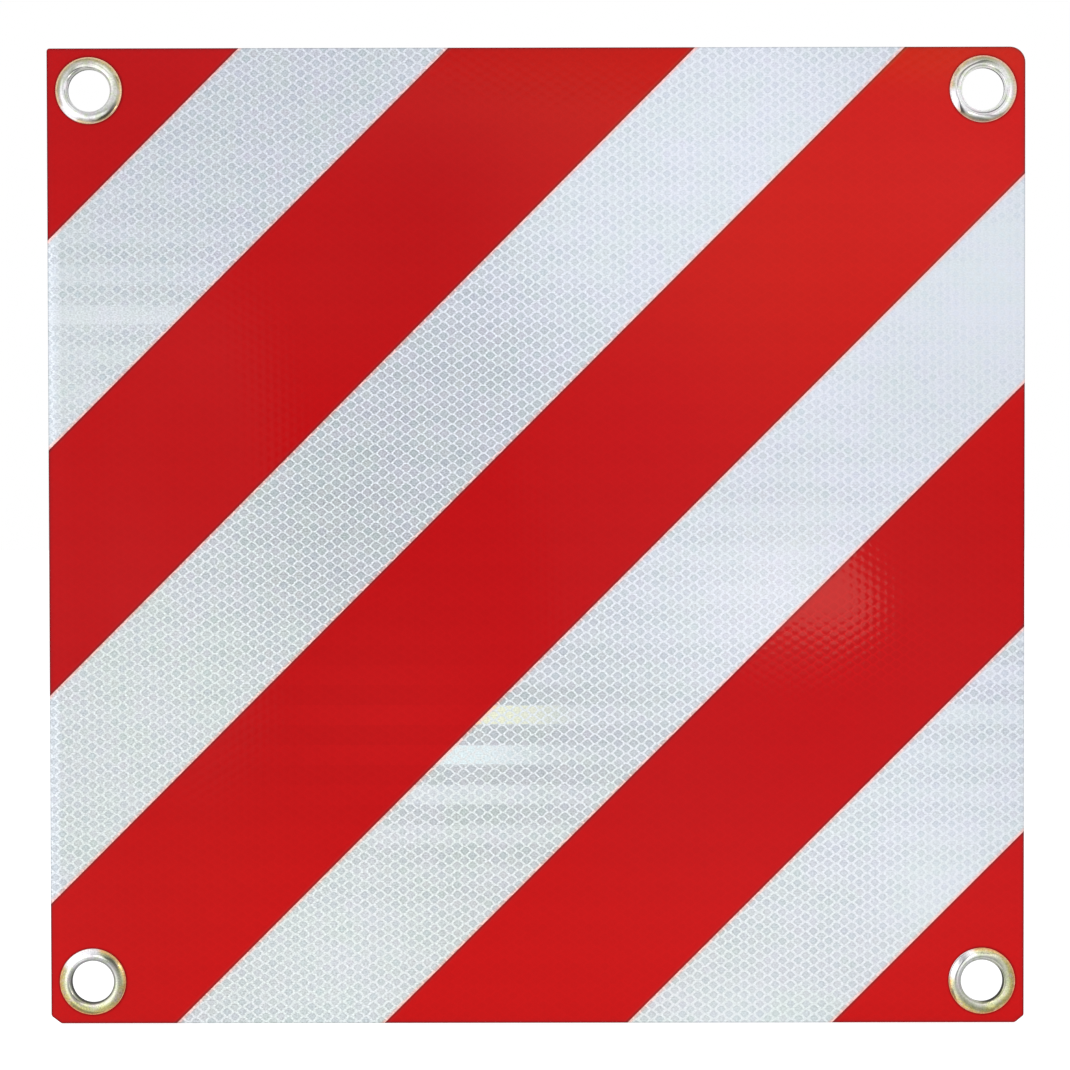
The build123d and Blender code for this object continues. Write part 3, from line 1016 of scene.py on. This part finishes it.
THROAT = {
    "top_left": (134.55, 0.77),
    "top_right": (108.79, 0.19),
    "bottom_left": (128.47, 0.51),
    "bottom_right": (100.47, 0.41),
}
# painted shade: the top two eyelets are drawn at 0.90 of the bottom ones' brightness
for k, (key, where) in enumerate(EYELETS.items()):
    plated = make_eyelet(f"eyelet_zinc_{key}", GOLD[key], GOLD_SIDE[key], THROAT_SLOPE_SHADING[key], RIM_BRASS_AND_REFLECTION[key], 0.90 if key.startswith("top") else 1.0, BARE_AND_GLARE[key], LIP_SHADE[key], 13.0 * k)
    piece = eyelet(f"eyelet_{key}_plated", where, LEAN[key], DENTS[key], THROAT[key], 31 + 7 * k, plated)
    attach(piece, "root")
    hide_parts(f"eyelet_{key}")


def dress(node, mat):
    """One material over a CAD node."""
    o = nodes[node]
    o.data.materials.clear()
    o.data.materials.append(mat)


washer = make_washer()
for key in EYELETS:
    dress(f"eyelet_washer_{key}", washer)
dress("backing_plate", make_plate())
dress("sheeting_backing_film", make_film_edge("seal_film_white", (0.82, 0.83, 0.83)))
dress("sheeting_adhesive", make_film_edge("adhesive_clear", (0.62, 0.60, 0.54)))

# ------------------------------------------------------------------------- stage
floor_me = bpy.data.meshes.new("floor")
ring = [(9.0 * math.cos(a), 9.0 * math.sin(a), -HALF * MM - 0.0002) for a in np.linspace(0, 2 * math.pi, 96, endpoint=False)]
floor_me.from_pydata(ring, [], [tuple(range(96))])
floor = bpy.data.objects.new("floor", floor_me)
scene.collection.objects.link(floor)
m, t = material("floor_pale")
fx, fy, fz = t.xyz(t.coord())
t.surface(
    Base_Color=t.mix(t.noise(t.vec(fx, fy, 0.0), 3.0, 3.0, 0.5), (0.47, 0.47, 0.47), (0.50, 0.50, 0.50)),
    Roughness=0.8,
    Specular_IOR_Level=0.1,
    Emission_Color=(1.0, 1.0, 1.0),
    Emission_Strength=0.78,
)
floor_me.materials.append(m)
floor.visible_glossy = False

# an even glow all round, and plain white behind the sign
world = bpy.data.worlds.new("studio")
scene.world = world
t = Tree(world)
soft = t.new("ShaderNodeBackground")
soft.inputs["Color"].default_value = (0.685, 0.685, 0.690, 1.0)
plain = t.new("ShaderNodeBackground")
plain.inputs["Color"].default_value = (1.0, 1.0, 1.0, 1.0)
rays = t.new("ShaderNodeLightPath")
pick = t.new("ShaderNodeMixShader")
t.t.links.new(rays.outputs["Is Camera Ray"], pick.inputs[0])
t.t.links.new(soft.outputs[0], pick.inputs[1])
t.t.links.new(plain.outputs[0], pick.inputs[2])
out = t.new("ShaderNodeOutputWorld")
t.t.links.new(pick.outputs[0], out.inputs["Surface"])

# what gloss mirrors: a dome with the soft lights and the dim corners of a studio,
# each by its bearing and height in degrees, its tightness and its brightness
DOME_R = 1.84
GLOW_BASE = (0.90, 0.07)
GLOWS = (
    (28.6, -23.1, 37.5, 0.51),
    (17.2, 0.8, 50.2, -0.89),
    (-27.3, -1.5, 51.2, 1.25),
    (14.8, -4.0, 29.4, 1.18),
    (23.8, -17.9, 19.4, -0.98),
    (-7.1, 1.4, 14.7, -0.72),
    (0.2, 19.6, 35.9, 0.72),
    (8.1, 27.4, 29.2, -0.48),
    (153.0, 31.0, 6.0, 0.60),
    (180.0, 0.0, 3.0, 0.20),
)
# panes with an edge: bearing, height, half width, half height, brightness
PANES = (
    (-4.8, -4.2, 4.6, 7.2, -0.22),
    (-27.0, -3.7, 7.6, 9.9, -0.36),
    (25.7, 5.8, 8.8, 7.5, 0.28),
    (-11.7, -1.0, 3.2, 8.1, 0.37),
    (4.6, 18.5, 13.2, 4.9, -0.39),
    (-16.0, 30.9, 9.4, 7.2, -0.21),
    (-23.5, -30.5, 11.8, 9.0, -0.23),
    (42.8, 7.2, 8.4, 8.8, 0.13),
)
dome_me = bpy.data.meshes.new("studio_dome")
bm = bmesh.new()
bmesh.ops.create_icosphere(bm, subdivisions=5, radius=DOME_R)
bm.to_mesh(dome_me)
bm.free()
dome = bpy.data.objects.new("studio_dome", dome_me)
scene.collection.objects.link(dome)
m, t = material("studio_dome")
dx, dy, dz = (v / DOME_R for v in t.xyz(t.coord()))


def toward(az, el):
    """How far the dome's direction agrees with this bearing and height."""
    az, el = math.radians(az), math.radians(el)
    cx, cy, cz = math.sin(az) * math.cos(el), -math.cos(az) * math.cos(el), math.sin(el)
    return dx * cx + dy * cy + dz * cz


glow = GLOW_BASE[0] + GLOW_BASE[1] * dz
for az, el, tight, amount in GLOWS:
    glow = glow + amount * t.math("EXPONENT", (toward(az, el) - 1.0) * tight)
bearing = t.math("ARCTAN2", dx, -dy) * math.degrees(1.0)
rise = t.math("ARCSINE", dz) * math.degrees(1.0)
for az, el, ha, he, amount in PANES:
    pa, pe = (bearing - az) / ha, (rise - el) / he
    soft_edge = 1.2 / min(ha, he)
    glow = glow + amount * t.step(t.math("SQRT", pa * pa + pe * pe), 1.0 + soft_edge, 1.0 - soft_edge)
glow = t.math("MAXIMUM", glow, 0.03)
glow = t.math("POWER", glow / 0.68, 1.6) * 0.68
glow = 0.5 * glow + 0.5 * t.step(glow, 0.33, 0.97, 0.22, 1.26)
glow = glow * (1.0 - 0.34 * t.step(dy, -0.93, -0.62) * t.step(dy, 0.04, -0.16))
glow = glow * (1.0 - 0.8 * t.step(dy, math.cos(math.radians(26.0)), math.cos(math.radians(16.0))))
glow = glow * t.step(dy, 0.32, 0.62, 1.0, 0.45)
glow = t.math("MAXIMUM", glow, 0.03)
lamp = t.step(toward(8.85, -2.75), math.cos(math.radians(3.45)), math.cos(math.radians(2.95)))
lamp = lamp + 0.16 * t.step(toward(8.6, -3.6), math.cos(math.radians(3.7)), math.cos(math.radians(3.3))) * (1.0 - lamp)
emit = t.new("ShaderNodeEmission")
t.put(emit.inputs["Color"], t.rgb(glow + 4.8 * lamp, glow + 3.8 * lamp, glow * 1.01 + 3.2 * lamp))
out = t.new("ShaderNodeOutputMaterial")
t.t.links.new(emit.outputs[0], out.inputs["Surface"])
m.cycles.emission_sampling = "NONE"
dome_me.materials.append(m)
dome.visible_camera = dome.visible_diffuse = dome.visible_transmission = False
dome.visible_shadow = dome.visible_volume_scatter = False


def softbox(name, at, to, size, radiance, color=(1, 1, 1)):
    """Area light of a given radiance, aimed at a point."""
    d = bpy.data.lights.new(name, "AREA")
    d.shape = "RECTANGLE"
    d.size, d.size_y = size
    d.energy = radiance * math.pi * size[0] * size[1]
    d.color = color
    ob = bpy.data.objects.new(name, d)
    ob.location = at
    ob.rotation_euler = (Vector(to) - Vector(at)).to_track_quat("-Z", "Y").to_euler()
    ob.visible_camera = ob.visible_glossy = False
    scene.collection.objects.link(ob)
    return ob


softbox("key_right", (1.55, -1.45, 0.25), (0.05, 0, -0.05), (1.3, 1.5), 1.5, (1.0, 0.99, 0.97))
softbox("key_left", (-1.7, -1.3, 0.5), (-0.05, 0, 0), (1.2, 1.3), 1.05, (0.98, 0.99, 1.0))
softbox("rear_fill", (-0.9, 1.8, 1.2), (0, 0, 0), (1.2, 0.9), 1.0)

# ------------------------------------------------------------------------ camera
eye, aim, roll, focal_px = Vector((0.00329, -1.6, 0.0374)), Vector((-0.0008, 0.0, 0.00094)), math.radians(-0.096), 3120.5
fwd = (aim - eye).normalized()
right = fwd.cross(Vector((0, 0, 1))).normalized()
up = right.cross(fwd)
r2 = math.cos(roll) * right + math.sin(roll) * up
u2 = -math.sin(roll) * right + math.cos(roll) * up
cam_data = bpy.data.cameras.new("camera")
cam_data.sensor_fit = "HORIZONTAL"
cam_data.sensor_width = 36.0
cam_data.lens = focal_px / 1070 * 36.0
cam_data.clip_start, cam_data.clip_end = 0.05, 50.0
cam = bpy.data.objects.new("camera", cam_data)
rot = Matrix((r2, u2, -fwd)).transposed()
cam.matrix_world = Matrix.Translation(eye) @ rot.to_4x4()
scene.collection.objects.link(cam)
scene.camera = cam

scene.view_settings.view_transform = "Standard"
scene.view_settings.look = "None"

bpy.context.view_layer.update()
